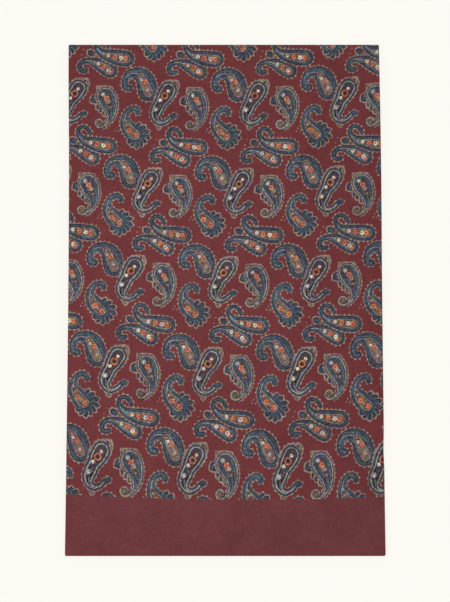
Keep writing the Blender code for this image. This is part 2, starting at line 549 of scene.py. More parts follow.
def ringed_leaf():
    arcs = ((8, -3), (9.5, 2), (9.5, 12), (8.5, 60), (6.5, 62), (8.5, 38), (4.5, -34), (2, -40))
    spine = leaf_spine((3.4, 24.6), 242, arcs, 7.6, 1.4, 3, 34)
    belly = part_of(spine, 17, 41)
    belly[:, 2] = 5.5 - 3.5 * smooth((distances(belly) - 7) / 16)
    hood = leaf_spine((3.7, 25.1), 238, ((8, -4), (8, 6), (6, 8)), 9.0, 4.6, 6, 22)
    shapes = petals(*at(spine, 38, -1.0), 272, ("tan", 7.6, 3.4), ("olive", 6.2, 2.4))
    shapes += petals(4, 24, 49, ("tan", 14.8, 6.8)) + picots(hood, 1.0, 4.4, 1.2)
    shapes += petals(4, 24, 49, ("olive", 12.8, 5.8)) + layered(hood, ("olive", 0.5), ("line", -0.5))
    shapes += petals(6.5, 28.8, 50, ("tan", 7.6, 3.2), ("line", 6.2, 2.3))
    shapes += picots(part_of(spine, 0, 56.5), 1.7, 5.2, 1.2) + picots(belly, 1.7, 5.2, 1.2)
    for ink, grow, end in RINGED_LAYERS:
        shapes += layered(part_of(spine, 0, end), (ink, grow)) + layered(belly, (ink, grow))
    shapes += layered(part_of(spine, 0, 38), ("navy", -2.6)) + layered(part_of(spine, 1, 26), ("plum", -3.6))
    ring = (("line", 4.6, 11), ("orange", 3.8, 11), ("umber", 2.7, 9), ("line", 1.5, 6))
    shapes += rings(*at(spine, 6.9, -0.3), *ring)
    shapes += flowers(spine, (
        # petals, heart, how many, radius, along, across
        ("cream", "grey", 5, 1.8, 0.9, 0.3),
        ("cream", "cream", 4, 2.0, 13.1, -1.7),
        ("grey", "cream", 5, 2.8, 23.3, -1.6),
    ))
    shapes += rings(*at(spine, 23.6, -1.5), ("cream", 1.5, 5))
    shapes += beads(spine, "azure", 1.1, 2.5, 18, 21, 1.6) + beads(spine, "tan", 0.8, 2.2, 26, 30, -2.2)
    shapes += beads(spine, "azure", 1.2, 2.5, 27.5, 31.5, 0.8) + beads(spine, "tan", 0.7, 2.3, 33, 40, 0.2)
    return shapes


# %% The crested leaf
CREST_ROOT = 5.0  # how far from the middle of the head the petals start
CREST = (  # heading and reach of each petal
    (72, 14.5),
    (46, 15.0),
    (18, 16.2),
    (-9, 16.2),
    (-34, 14.6),
    (-58, 14.4),
    (-82, 14.8),
    (-108, 13.2),
    (-131, 11.8),
)


def crested_leaf():
    arcs = ((13.3, -16), (8.5, -38), (7.5, -38), (7, -42), (5, -75), (2, -30))
    spine = leaf_spine((-29.5, -22.5), 140, arcs, 7.6, 2.2, 6, 29)
    pod = part_of(spine, 0, 19)
    shapes = edging(spine) + rings(-26.5, -25.0, ("line", 9.5, 12))
    for heading, reach in CREST:
        root = spine[0, :2] + CREST_ROOT * direction(heading)
        length = reach - CREST_ROOT
        inks = (("tan", length + 1.1, 3.6), ("line", length - 0.5, 2.8), ("teal", length - 1.6, 1.7))
        shapes += petals(*root, heading, *inks)
    shapes += layered(spine, ("teal", 0.1)) + layered(part_of(spine, 0, 30), ("navy", -1.9))
    shapes += gleam(spine, 0, 26, 5.8, 2.0) + gleam(spine, 8, 30, -4.8, -1.4, 0.8)
    shapes += layered(pod, ("line", -2.2), ("grey", -2.8), ("line", -3.6), ("umber", -4.1))
    shapes += vein(spine, 18, 27) + beads(spine, "stone", 0.75, 2.6, 28, 40, 0.2)
    shapes += beads(spine, "olive", 0.8, 2.4, 0, 13, 2.2) + beads(spine, "tan", 0.8, 2.4, 0, 13, -2.2)
    shapes += flowers(spine, (
        # petals, heart, how many, radius, along, across
        ("orange", "rust", 5, 2.9, 7.8, 1.1),
        ("orange", "rust", 5, 2.8, -1.0, -0.2),
        ("tan", "olive", 4, 1.7, 4.0, 0.4),
        ("stone", "cream", 4, 1.6, 14.0, 0.0),
    ))
    for x, y in ((-48.5, -15.5), (-46.5, -19.0), (-50.0, -18.5)):
        shapes.append(("tan", spot(x, y, 0.9)))
    return shapes


# %% The curled leaf
BANK = (  # x, y, heading, length and half width of each bud
    (25.8, 16.8, 213, 11.4, 4.5),
    (30.0, 10.5, 224, 10.0, 3.8),
    (32.0, 7.0, 228, 9.0, 3.2),
    (33.5, 2.5, 238, 6.5, 2.6),
)


def curled_leaf():
    arcs = ((9, -10), (10.5, -22), (7.5, -32), (4.7, -13), (4.8, -20), (3.2, -32))
    arcs += ((3.8, -48), (3.4, -50), (3.6, -45), (3.5, -60), (3.3, -50))  # the curl
    spine = leaf_spine((31.8, 16.8), -58, arcs, 8.8, 1.1, 2, 32)
    face, tail = part_of(spine, 0, 34), part_of(spine, 35, 57)
    shapes = []
    for x, y, heading, length, half in BANK:
        shapes += bud(x, y, heading, length, half)
    crown = np.array([(22.0, 18.0), (21.5, 27.8), (30.0, 28.2), (38.5, 27.6), (41.5, 20.0)])
    shapes += [("tan", crown), ("olive", crown * (0.9, 0.95) + (3.1, 0.7))]
    shapes += picots(face, 2.1, 3.8, 1.2) + layered(face, ("olive", 1.5))
    shapes += rings(26.6, -11.3, ("line", 4.8, 9), ("olive", 3.8, 9))
    shapes += layered(part_of(spine, 0, 38), ("line", 0.9)) + layered(part_of(spine, 0, 36), ("grey", 0.25))
    shapes += layered(face, ("line", -0.85), ("blue", -1.3)) + layered(part_of(spine, 0, 24), ("navy", -3.1))
    shapes += gleam(spine, 0, 27, 6.2, 1.6) + layered(tail, ("line", 0.5), ("tan", -0.1))
    shapes += layered(part_of(spine, 0, 15), ("plum", -4.6))
    shapes += beads(spine, "olive", 0.8, 2.4, -1, 12, 3.0) + beads(spine, "stone", 0.8, 2.6, 13, 25, 0.4)
    shapes += beads(spine, "tan", 0.8, 2.6, 2, 12, -2.8)
    shapes += flowers(spine, (
        # petals, heart, how many, radius, along, across
        ("grey", "cream", 5, 2.6, -3.6, -1.3),
        ("orange", "rust", 5, 2.9, 1.9, -0.2),
        ("grey", "olive", 5, 2.3, 6.3, 0.2),
        ("tan", "olive", 4, 1.4, 12.2, 0.0),
    ))
    return shapes


# %% The pair of leaves
def leaf_pair():
    arcs = ((21.4, -12), (8, -25), (6.5, -30), (5.5, -60), (5, -55), (5.5, -50), (5, -10))
    upper = leaf_spine((52, 56.5), 177, arcs, 7.4, 1.4, 6, 42)
    arcs = ((10, 4), (10, 10), (8, 25), (6, 45), (5.5, 55), (5, 80), (3, 20))
    lower = leaf_spine((35.5, 43.5), 148, arcs, 6.7, 1.8, 6, 31)
    shapes = bud(18.6, 58.8, 148, 8.4, 3.2)
    shapes += [("tan", spot(7.4, 64.5, 0.9)), ("tan", spot(5.4, 59.0, 0.9))]
    shapes += petals(24, 60, 190, ("olive", 6.0, 1.8))
    for spine, core_end in ((lower, 19), (upper, 24)):
        core = part_of(spine, 0, core_end)
        shapes += edging(spine) + layered(spine, ("blue", -0.5))
        shapes += layered(part_of(spine, 0, core_end + 6), ("navy", -1.8))
        shapes += gleam(spine, 0, core_end + 8, 5.0, 1.3) + layered(core, ("tan", -3.1), ("umber", -3.8))
        shapes += vein(spine, core_end - 1, core_end + 9, 0.8)
        shapes += beads(spine, "olive", 0.8, 2.6, 0, core_end - 5, 2.2)
        shapes += beads(spine, "tan", 0.8, 2.6, 0, core_end - 5, -2.2)
    shapes += flowers(lower, (
        # petals, heart, how many, radius, along, across
        ("orange", "rust", 5, 2.2, -1.2, 1.5),
        ("cream", "olive", 5, 2.4, 1.8, 0.3),
        ("orange", "rust", 5, 2.7, 8.0, 0.0),
        ("cream", "olive", 4, 2.0, 14.2, 0.0),
        ("stone", "cream", 4, 1.3, 18.6, 0.0),
    ))
    shapes += flowers(upper, (
        ("orange", "rust", 5, 2.8, 1.0, 0.0),
        ("cream", "olive", 5, 2.5, 5.6, 0.0),
        ("orange", "rust", 5, 2.7, 12.2, 0.0),
        ("cream", "olive", 4, 2.0, 19.0, 0.0),
        ("grey", "plum", 4, 1.3, 25.0, 0.0),
    ))
    return shapes


# %% [markdown]
# ## One repeat, cut into triangles
#
# The print could be a picture, but pictures blur when the camera comes near. Here the cloth itself is
# cut along the edges of the print, so that each small face has one ink. Blender's constrained
# triangulation does the cutting: it takes outlines that overlap, finds every crossing, and joins it all
# up with triangles. It is slow on a whole cloth and quick on one repeat, so one repeat is cut, and then
# laid again and again. Its tile is a slanted box, because each row of the print is shifted sideways.

# %% The repeat
REPEAT_ACROSS = np.array([92.8, 0.0])  # mm
REPEAT_UP = np.array([15.4, 91.0])
TILE_CORNER = np.array([-48.0, -42.0])
TILE_STEPS = 12

motifs = leaf_pair() + hooked_leaf() + ringed_leaf() + crested_leaf() + curled_leaf()
print(len(motifs), "printed shapes in a repeat, with", sum(len(outline) for _, outline in motifs), "points")


def tile_share(points):
    """Where points are in the tile: shares of the way across and up it, from 0 to 1."""
    up = (points[:, 1] - TILE_CORNER[1]) / REPEAT_UP[1]
    across = (points[:, 0] - TILE_CORNER[0] - up * REPEAT_UP[0]) / REPEAT_ACROSS[0]
    return np.column_stack([across, up])


def neighbouring(shapes):
    """The shapes, repeated over the tile and those round it, that reach into the tile."""
    near = []
    for j in (-1, 0, 1):
        for i in (-1, 0, 1):
            for ink, outline in shapes:
                moved = outline + i * REPEAT_ACROSS + j * REPEAT_UP
                share = tile_share(moved)
                if (share.max(0) > 0).all() and (share.min(0) < 1).all():
                    near.append((INK_NUMBERS[ink], moved))
    return near


def inside(points, outline):
    """Which points an outline goes round, however often."""
    turns = np.zeros(len(points), int)
    for (x0, y0), (x1, y1) in zip(outline, np.roll(outline, -1, 0)):
        side = (x1 - x0) * (points[:, 1] - y0) - (points[:, 0] - x0) * (y1 - y0)
        turns += ((y0 <= points[:, 1]) & (points[:, 1] < y1) & (side > 0)).astype(int)
        turns -= ((y1 <= points[:, 1]) & (points[:, 1] < y0) & (side < 0)).astype(int)
    return turns != 0


def ink_at(points, printed):
    """The number of the last ink printed at each point of the tile."""
    inks = np.zeros(len(points), int)
    for ink, outline in printed:
        low, high = outline.min(0), outline.max(0)
        near = np.nonzero(((points > low) & (points < high)).all(1))[0]
        inks[near[inside(points[near], outline)]] = ink
    return inks


# %% [markdown]
# The tile is cut twice. The first cut finds every crossing of the outlines, and shows which edges have
# two different inks beside them. Only those are kept for the second cut, so that an outline hidden under
# a later shape costs nothing. Points on the tile's border are put on both of its opposite sides, so that
# neighbouring tiles meet point for point.

# %% Cutting the tile
MERGE_SHARE = 10  # points nearer to each other than the grid, divided by this, are merged


def snapped(points, edges, grid):
    """Points moved to a fine grid, where points that meet become one, and edges between them."""
    places = np.round(np.asarray(points) / grid).astype(np.int64)
    used, moved_to = np.unique(places, axis=0, return_inverse=True)
    edges = moved_to.ravel()[np.asarray(edges)]
    return used * grid, edges[edges[:, 0] != edges[:, 1]]


def triangulated(points, edges, grid):
    """Points in mm joined up with triangles, with the given edges kept."""
    points, edges = snapped(points, edges, grid)
    corners = [Vector((float(x), float(y))) for x, y in points]
    edges = [tuple(map(int, edge)) for edge in edges]
    out = delaunay_2d_cdt(corners, edges, [], 0, grid / MERGE_SHARE, False)
    return np.array([tuple(point) for point in out[0]]), np.array([tuple(face) for face in out[2]])


def edges_of(triangles):
    """The edges of triangles, and for each edge its first and last triangle, the same one at a border."""
    corners = np.sort(np.vstack([triangles[:, [0, 1]], triangles[:, [1, 2]], triangles[:, [2, 0]]]), 1)
    owner = np.tile(np.arange(len(triangles)), 3)
    order = np.lexsort((owner, corners[:, 1], corners[:, 0]))
    corners, owner = corners[order], owner[order]
    starts = np.nonzero(np.r_[True, (np.diff(corners, axis=0) != 0).any(1)])[0]
    ends = np.r_[starts[1:], len(corners)] - 1
    return corners[starts], owner[starts], owner[ends]


TILE_GRID = 0.002  # mm
TILE_DECIMALS = 3  # places on the tile's border are rounded to a thousandth of a mm
ON_BORDER = 1e-5  # of the tile's size; points nearer its border than this lie on it
TILE_SIZE = np.array([REPEAT_ACROSS[0], REPEAT_UP[1]])
STEPS = np.arange(TILE_STEPS + 1) / TILE_STEPS


def leaned(points, way=1):
    """Leans an upright tile over to its true slant, or back upright where way is -1."""
    lean = (points[:, 1] - TILE_CORNER[1]) * REPEAT_UP[0] / REPEAT_UP[1]
    return np.column_stack([points[:, 0] + way * lean, points[:, 1]])


def tile_border(points):
    """Points and edges round the upright tile, with the points that lie on it put on opposite sides too."""
    border, edges = [], []
    share = (np.asarray(points).reshape(-1, 2) - TILE_CORNER) / TILE_SIZE
    for axis in (0, 1):
        on_side = np.abs(share[:, axis] - np.round(share[:, axis])) < ON_BORDER
        stops = np.concatenate([STEPS, share[on_side, 1 - axis]]) * TILE_SIZE[1 - axis]
        stops = np.unique(np.round(stops, TILE_DECIMALS))
        for side in (0.0, TILE_SIZE[axis]):
            first = len(border)
            for stop in stops:
                border.append(TILE_CORNER + ((side, stop) if axis == 0 else (stop, side)))
            edges += [(first + i, first + i + 1) for i in range(len(stops) - 1)]
    return border, edges


def cut_once(points, edges, printed, on_border=()):
    """The triangles of the upright tile, with their inks."""
    border, border_edges = tile_border(on_border)
    lattice = [TILE_CORNER + TILE_SIZE * (across, up) for across in STEPS[1:-1] for up in STEPS[1:-1]]
    edges = np.vstack([edges, np.array(border_edges) + len(points)])
    net, triangles = triangulated(np.vstack([points, border, lattice]), edges, TILE_GRID)
    middles = net[triangles].mean(1)
    share = (middles - TILE_CORNER) / TILE_SIZE
    kept = ((share > 0) & (share < 1)).all(1)
    used, triangles = np.unique(triangles[kept], return_inverse=True)
    return net[used], triangles.reshape(-1, 3), ink_at(leaned(middles[kept]), printed)


def cut_tile(shapes):
    """The tile's points, its triangles, and the ink of each."""
    printed = neighbouring(shapes)
    points, edges = [], []
    for _, outline in printed:
        first, count = len(points), len(outline)
        points += list(outline)
        edges += [(first + i, first + (i + 1) % count) for i in range(count)]
    net, triangles, inks = cut_once(leaned(np.array(points), -1), edges, printed)
    edges, one, other = edges_of(triangles)
    used, needed = np.unique(edges[inks[one] != inks[other]], return_inverse=True)
    net, triangles, inks = cut_once(net[used], needed.reshape(-1, 2), printed, net[used])
    print("a tile of", len(shapes), "shapes has", len(triangles), "triangles")
    return leaned(net), triangles, inks


def reach_of(outline):
    return np.ptp(outline, axis=0).max()


FINEST_BELOW = 1.65  # mm; beads smaller than this are left out on the underside
face_tile = cut_tile(motifs)
under_tile = cut_tile([shape for shape in motifs if reach_of(shape[1]) > FINEST_BELOW])

# %% [markdown]
# ## Laying the print on the cloth
#
# Copies of the tile are laid side by side over the flat cloth. Silk never lies quite square, so the rows
# of the print bow a little and drift by a few millimetres from one end of the packet to the other. The
# print also runs straight where the side edges spread, as it would on a tube sewn slightly wider there.

# %% From the print's plane to the cloth
MM = 0.001
BOW = 0.156  # how fast rows of the print rise to each side of BOW_MIDDLE, per metre
BOW_MIDDLE = 0.015
SLANT = 0.034
TWIST = 0.052
STRETCH_ALONG = (-0.051, 0.525)
SET_BACK = 0.0011  # how far the whole print sits towards the border end
DRIFT_REACH = 0.26  # the drift grows no further than this from the middle of the packet


def on_cloth(points):
    """Turns places on the print's own plane, in metres, into places across and along the cloth."""
    near = np.clip(points[:, 1], -DRIFT_REACH, DRIFT_REACH)
    x = points[:, 0] + SLANT * near**2
    bow = BOW * (points[:, 0] - BOW_MIDDLE) ** 2
    drift = STRETCH_ALONG[0] * near**2 + STRETCH_ALONG[1] * near**3 + TWIST * points[:, 0] * near
    along = points[:, 1] + bow + drift - SET_BACK - HEM_Y
    left, right = side_edges(along, tube_path(along)[0])
    half = (right - left) / 2 - HALF_TUBE
    return np.column_stack([(x - (left + right) / 2) * FLAT_HALF / half, along])


# %% Copies of the tile
PRINT_REACH = FLAT_HALF + SIDE_ARC + 0.0015  # how far round the side edges the print is cut in detail
SPARE_SIDE = 3  # mm more of the print on each side, because it bows and spreads


def laid_tiles(tile, low, high):
    """Copies of a tile over the print's plane between two heights: points, triangles and inks."""
    tile_points, tile_triangles, tile_inks = tile
    moves = []
    rows = [math.floor((edge / MM - TILE_CORNER[1]) / REPEAT_UP[1]) for edge in (low, high)]
    for j in range(rows[0], rows[1] + 1):
        row_x = TILE_CORNER[0] + j * REPEAT_UP[0]
        first = math.floor((-PRINT_REACH / MM - SPARE_SIDE - row_x - REPEAT_UP[0]) / REPEAT_ACROSS[0])
        last = math.floor((PRINT_REACH / MM + SPARE_SIDE - row_x) / REPEAT_ACROSS[0])
        moves += [i * REPEAT_ACROSS + j * REPEAT_UP for i in range(first, last + 1)]
    points = np.concatenate([tile_points + move for move in moves]) * MM
    triangles = np.concatenate([tile_triangles + n * len(tile_points) for n in range(len(moves))])
    return points, triangles, np.tile(tile_inks, len(moves))


# %% [markdown]
# The laid print is trimmed like cloth on a table: along straight lines, with the waste thrown away. More
# cuts are scored where the cloth will bend, round the side edges and over the folds, because a face can
# only bend at its edges. Blender's bisect tool makes each cut without moving anything.

# %% Cutting lines
ACROSS, ALONG = 0, 1
TURN_STEPS = 4  # round a side edge
FOLDS = ((TOP_START, TOP_END), (LOWER_START, LOWER_END))
FOLD_STEPS = 8  # over each of them
TOUCH = 4e-7  # points closer than this are one point, and a point this close to a cut is on it
RIM_TOUCH = 5 * TOUCH  # the same for points on the rim of a net
CUT_TOUCH = 1e-7  # a cut goes through a point this close, and makes no new one


def inked_mesh(name, points, triangles, inks):
    """A mesh whose faces remember their ink."""
    mesh = bpy.data.meshes.new(name)
    mesh.from_pydata(points, [], triangles)
    mesh.attributes.new("ink", "INT", "FACE").data.foreach_set("value", inks)
    return mesh


def net_of(points, triangles, inks):
    """A flat net that can be cut."""
    mesh = inked_mesh("net", np.column_stack([points, np.zeros(len(points))]), triangles, inks)
    net = bmesh.new()
    net.from_mesh(mesh)
    bpy.data.meshes.remove(mesh)
    bmesh.ops.remove_doubles(net, verts=net.verts, dist=TOUCH)
    return net


def score(net, axis, places, between=None):
    """Cuts a net along straight lines. With between, only the faces that lie there are cut."""
    faces = net.faces[:]
    if between:
        faces = [face for face in faces if between[0] < face.calc_center_median()[axis] < between[1]]
    edges = {edge for face in faces for edge in face.edges}
    geometry = list({vertex for edge in edges for vertex in edge.verts}) + list(edges) + faces
    for place in places:
        line, normal = Vector(), Vector()
        line[axis], normal[axis] = place, 1.0
        result = bmesh.ops.bisect_plane(net, geom=geometry, dist=CUT_TOUCH, plane_co=line, plane_no=normal)
        geometry = result["geom"]


def discard(net, unwanted):
    """Throws away the faces whose centre, across and along, is unwanted."""
    faces = [face for face in net.faces if unwanted(*face.calc_center_median().xy)]
    bmesh.ops.delete(net, geom=faces, context="FACES")


def flush(points, triangles, axis, places):
    """Puts border points that touch a cut exactly on it."""
    edges, one, other = edges_of(triangles)
    border = np.unique(edges[one == other])
    for place in places:
        near = border[np.abs(points[border, axis] - place) < RIM_TOUCH]
        points[near, axis] = place
    return points


def arrays_of(net):
    """Points, triangles and inks of a net, after which it is freed."""
    border = [vertex for vertex in net.verts if vertex.is_boundary]
    bmesh.ops.remove_doubles(net, verts=border, dist=RIM_TOUCH)
    bmesh.ops.triangulate(net, faces=[face for face in net.faces if len(face.verts) > 3])
    net.verts.index_update()
    ink = net.faces.layers.int["ink"]
    points = np.array([vertex.co.xy for vertex in net.verts])
    triangles = np.array([[vertex.index for vertex in face.verts] for face in net.faces])
    inks = np.array([face[ink] for face in net.faces])
    net.free()
    return points, triangles, inks


# %% The printed part of a stretch of cloth
PRINT_START = -0.1977  # on the print's own plane, where the plain border ends
PRINT_START_SLOPE = 0.006  # the print doesn't start quite square
FAR_BORDER = TUBE_LENGTH - 0.0528  # along the cloth, where the plain border of the hidden end begins
SPARE_ROWS = 0.01  # how much further than the cloth the print is laid at each end
TRIMMINGS = 0.012  # faces this far outside the cloth are kept until it is trimmed
LEAD_IN = 0.01  # faces that start this far before a fold are scored with it


def printed_net(tile, start, end, spared):
    """The print between two places along the cloth, less the middle that is spared."""
    low = max(start + HEM_Y - SPARE_ROWS, PRINT_START - MM)
    points, triangles, inks = laid_tiles(tile, low, end + HEM_Y + SPARE_ROWS)
    if start == 0:
        points[:, 1] -= PRINT_START_SLOPE * points[:, 0]
        net = net_of(points, triangles, inks)
        score(net, ALONG, [PRINT_START])
        discard(net, lambda p, q: q < PRINT_START + TOUCH)
        points, triangles, inks = arrays_of(net)
        points = flush(points, triangles, ALONG, [PRINT_START])
        points[:, 1] += PRINT_START_SLOPE * points[:, 0]
    points = on_cloth(points)
    middles = points[triangles].mean(1)
    wide = np.abs(middles[:, 0])
    kept = (wide < PRINT_REACH + TRIMMINGS) & (wide > spared - TRIMMINGS)
    kept &= (middles[:, 1] > start - TRIMMINGS) & (middles[:, 1] < end + TRIMMINGS)
    net = net_of(points, triangles[kept], inks[kept])
    bmesh.ops.delete(net, geom=[vertex for vertex in net.verts if not vertex.link_faces], context="VERTS")
    borders = [-PRINT_REACH, -FLAT_HALF, FLAT_HALF, PRINT_REACH] + [-spared, spared] * (spared > 0)
    score(net, ACROSS, borders)
    score(net, ALONG, [start, end])
    discard(net, lambda c, v: not (spared < abs(c) - TOUCH * (spared > 0) and abs(c) < PRINT_REACH - TOUCH))
    discard(net, lambda c, v: not start + TOUCH < v < end - TOUCH)
    turn = FLAT_HALF + SIDE_ARC * np.arange(1, TURN_STEPS + 1) / TURN_STEPS
    score(net, ACROSS, turn, (FLAT_HALF, math.inf))
    score(net, ACROSS, -turn, (-math.inf, -FLAT_HALF))
    for first, last in FOLDS:
        if start < last and first < end:
            stops = np.linspace(first, last, FOLD_STEPS + 1)[:-1]
            score(net, ALONG, stops[stops > start], (first - LEAD_IN, last))
    points, triangles, inks = arrays_of(net)
    points = flush(points, triangles, ACROSS, borders)
    return flush(points, triangles, ALONG, [start, end]), triangles, inks


# %% [markdown]
# ## The rest of the cloth
#
# The plain border, the hidden ply of the tube and the inside of the silk have no print to cut, so a wide
# net of triangles is enough. It still has to meet the printed part point for point, or the cloth would
# have slits. The same triangulation does that: the border of the printed part goes in as edges to keep.
#
# The silk has a thickness. The net therefore runs along the outside, over the raw edge where a piece
# ends, and back along the inside: laid out, that is one longer sheet. Its length is measured by "run",
# and each run stands for a place along the tube and a depth in the silk.

# %% Rows and columns of the wide net
SILK = 0.00025  # how thick the silk is drawn
MESH_STEP = 0.015
NOSE_ROWS = 6
NEAR_END = 0.02  # rows nearer a closed end than this are set back on the inside
HAIR = 1e-6  # too small a difference to count
INSIDE_END = END_DEPTHS * SILK  # how far from a closed end the inside begins


def rounded_end():
    """Distances from a closed end at which its round nose and corner need a row of points."""
    angles = np.linspace(0, math.pi / 2, NOSE_ROWS)
    return [*(NOSE * (1 - np.cos(angles))), (NOSE + END_CORNER) / 2, END_CORNER]


def stations(start, end):
    """Places along the tube that need a row of points, between the ends of a piece."""
    stops = {start, end}
    for first, last in FOLDS:
        stops.update(place for place in np.linspace(first, last, FOLD_STEPS + 1) if start <= place <= end)
    stops.update(rounded_end() if start == 0 else [])
    stops.update(TUBE_LENGTH - place for place in (rounded_end() if end == TUBE_LENGTH else []))
    firm = np.array(sorted(stops))
    rows = [firm[:1]]
    for low, high in zip(firm, firm[1:]):
        rows.append(np.linspace(low, high, max(1, round((high - low) / MESH_STEP)) + 1)[1:])
    rows = np.concatenate(rows)
    return rows[np.r_[True, np.diff(rows) > HAIR]]


def sheet_rows(start, end):
    """Rows of a piece laid out from skin over raw edge to inside: run, place along and depth of each."""
    skin = stations(start, end)
    inside = skin.copy()
    inside[skin < NEAR_END] += INSIDE_END * (start == 0)
    inside[skin > TUBE_LENGTH - NEAR_END] -= INSIDE_END * (end == TUBE_LENGTH)
    inside = np.column_stack([inside, np.full(len(skin), SILK)])
    skin = np.column_stack([skin, np.zeros(len(skin))])
    if end == TUBE_LENGTH:
        rows = np.vstack([inside[::-1], skin])
    elif start == 0:
        rows = np.vstack([skin, inside[::-1]])
    else:
        rows = np.vstack([inside[:1], skin, inside[::-1]])
    runs = np.concatenate([[0.0], np.cumsum(np.abs(np.diff(rows, axis=0)).sum(1))])
    first_skin = int(np.nonzero(rows[:, 1] == 0)[0][0])
    return np.column_stack([runs - runs[first_skin] + start, rows])


def sheet_columns():
    """Places across the cloth that need a column of points."""
    flat = np.linspace(-FLAT_HALF, FLAT_HALF, 2 * round(FLAT_HALF / MESH_STEP) + 1)
    turn = FLAT_HALF + SIDE_ARC * np.arange(1, TURN_STEPS) / TURN_STEPS
    back = FLAT_HALF + SIDE_ARC + np.linspace(0, FLAT_HALF, round(FLAT_HALF / MESH_STEP) + 1)
    side = np.concatenate([turn, back])
    return np.concatenate([-side[::-1], flat, side])


# %% [markdown]
# On the skin, run and place along the tube are the same number, so the printed part drops straight into
# its place in the laid-out sheet.

# %% Joining the printed part and the wide net
ON_LINE = 2e-7  # a point this close to a straight line is on it
CLOTH_DECIMALS = 7  # places on the printed part are rounded to a tenth of a thousandth of a mm
CLOTH_GRID = 1e-4  # mm
CLOSE_ROWS = 0.004  # rows nearer to each other than this are joined up with edges
PLAIN_END = 0.08  # from the hem; cloth nearer than this and without print is the plain border


def lines_through(points, axis, places, covered):
    """Edges that join neighbouring points on straight lines, except where the print covers them."""
    edges = []
    for place in places:
        near = np.nonzero(np.abs(points[:, axis] - place) < ON_LINE)[0]
        near = near[np.argsort(points[near, 1 - axis])]
        pairs = np.column_stack([near[:-1], near[1:]])
        edges.append(pairs[~covered((points[pairs[:, 0]] + points[pairs[:, 1]]) / 2)])
    return np.concatenate(edges)


def whole_sheet(start, end, printed_part, spared):
    """The laid-out sheet of one piece: points across and along its run, triangles and inks."""
    points, triangles, inks = printed_part
    points = np.round(points, CLOTH_DECIMALS)
    rows, columns = sheet_rows(start, end), sheet_columns()
    edges, one, other = edges_of(triangles)
    border = edges[one == other]
    used, border = np.unique(border, return_inverse=True)
    border = border.reshape(-1, 2)
    rim = points[used]
    low_edge = rim[(rim[:, 1] < start + PLAIN_END) & (np.abs(rim[:, 0]) < PRINT_REACH - HAIR)]
    low_edge = low_edge[np.argsort(low_edge[:, 0])]
    top = FAR_BORDER if end == TUBE_LENGTH else end

    def covered(places, margin=-TOUCH):
        """Which places lie in the printed part, or within a margin of it."""
        low = start - margin
        if start == 0:
            low = np.interp(places[:, 0], low_edge[:, 0], low_edge[:, 1]) - max(margin, 0)
        inside_rows = (places[:, 1] > low) & (places[:, 1] < top + margin)
        wide = np.abs(places[:, 0])
        return inside_rows & (wide < PRINT_REACH + margin) & (wide > spared - margin)

    lattice = np.array([(column, run) for run in rows[:, 0] for column in columns])
    lattice = lattice[~covered(lattice, 2 * HAIR)]
    net = np.vstack([rim, lattice])
    turns = columns[np.abs(np.abs(columns) - FLAT_HALF - SIDE_ARC / 2) < SIDE_ARC / 2 + HAIR]
    near = np.diff(rows[:, 0]) < CLOSE_ROWS
    close = np.unique(np.concatenate([rows[:-1][near, 0], rows[1:][near, 0]]))
    kept = np.vstack([
        border,
        lines_through(net, ACROSS, [columns[0], *turns, columns[-1]], covered),
        lines_through(net, ALONG, [rows[0, 0], *close, rows[-1, 0]], covered),
    ])
    filled, wide = triangulated(net / MM, kept, CLOTH_GRID)
    filled = filled * MM
    wide = wide[~covered(filled[wide].mean(1))]
    ink = np.full(len(wide), INK_NUMBERS["ground"])
    middle_runs = filled[wide].mean(1)[:, 1]
    plain = (middle_runs < start + PLAIN_END) & (start == 0)
    plain |= middle_runs > FAR_BORDER
    ink[plain] = INK_NUMBERS["border"]
    all_points = np.vstack([points, filled])
    return all_points, np.vstack([triangles, wide + len(points)]), np.concatenate([inks, ink]), rows


# %% [markdown]
# ## Making the pieces
#
# A piece is folded into place, its points are welded, and its faces are coloured by their ink. The
# colour is stored on the corners of the faces, where a material reads it. Corners of one face share one
# ink, so that the print's edges stay sharp. Raw edges are shaded flat and everything else smooth, as
# silk bends softly.
#
# The inks were listed as they should look on the lit cloth. A dye's own colour is a little different:
# the studio throws more light on it than plain white would need, and the silk's surface adds a thin veil
# of white. Both are taken off first, in numbers that stand for amounts of light. They could be left on
# and the lamps turned down, but then the pale table would go grey.
#
# An ink also says how much of the print's finest detail lies over it. The plain ground has a little, the
# border none, and everything else all of it.

# %% From the ink as it looks to the dye's own colour
STUDIO_GAIN = 1.31  # light that reaches the silk, against plain white
SHEEN_VEIL = 0.012  # white light that the silk's surface adds to any ink
DARKEST = 0.004  # no dye is darker than this
FLECKED = {"ground": 0.15, "border": 0.0}  # how much fine detail is printed over an ink, where it isn't 1


def amount_of_light(seen):
    """Turns the way a screen writes a colour, from 0 to 1, into amounts of light."""
    return np.where(seen < 0.04045, seen / 12.92, ((seen + 0.055) / 1.055) ** 2.4)


def dye(ink):
    """An ink's own colour, and in the fourth place how much fine detail is printed over it."""
    light = amount_of_light(np.array(INKS[ink]) / 255)
    own = np.maximum((light - SHEEN_VEIL) / STUDIO_GAIN, DARKEST)
    return (*own, FLECKED.get(ink, 1.0))


PALETTE = np.array([dye(ink) for ink in INKS])
print(len(PALETTE), "dyes, the brightest of them", round(PALETTE[:, :3].max(), 2))

# %% [markdown]
# Each piece also carries a map that lays its faces side by side without overlap. The printed face gets
# most of the room, the hidden ply is drawn narrower beside it, and the inside of the silk comes last.

# %% A map for the silk
MAP_SIZE = 0.54  # metres of cloth to one side of the map
MAP_MARGIN = 0.004
MAP_HEIGHT = 0.98  # how much of its height the map uses
BACK_SQUEEZE = 0.35  # how wide the hidden ply is drawn
BACK_SHIFT = 0.065  # how far apart its two halves are
INSIDE_LEFT = 0.80  # where the inside of the silk begins
INSIDE_WIDTH = 0.09  # half of the room that it gets


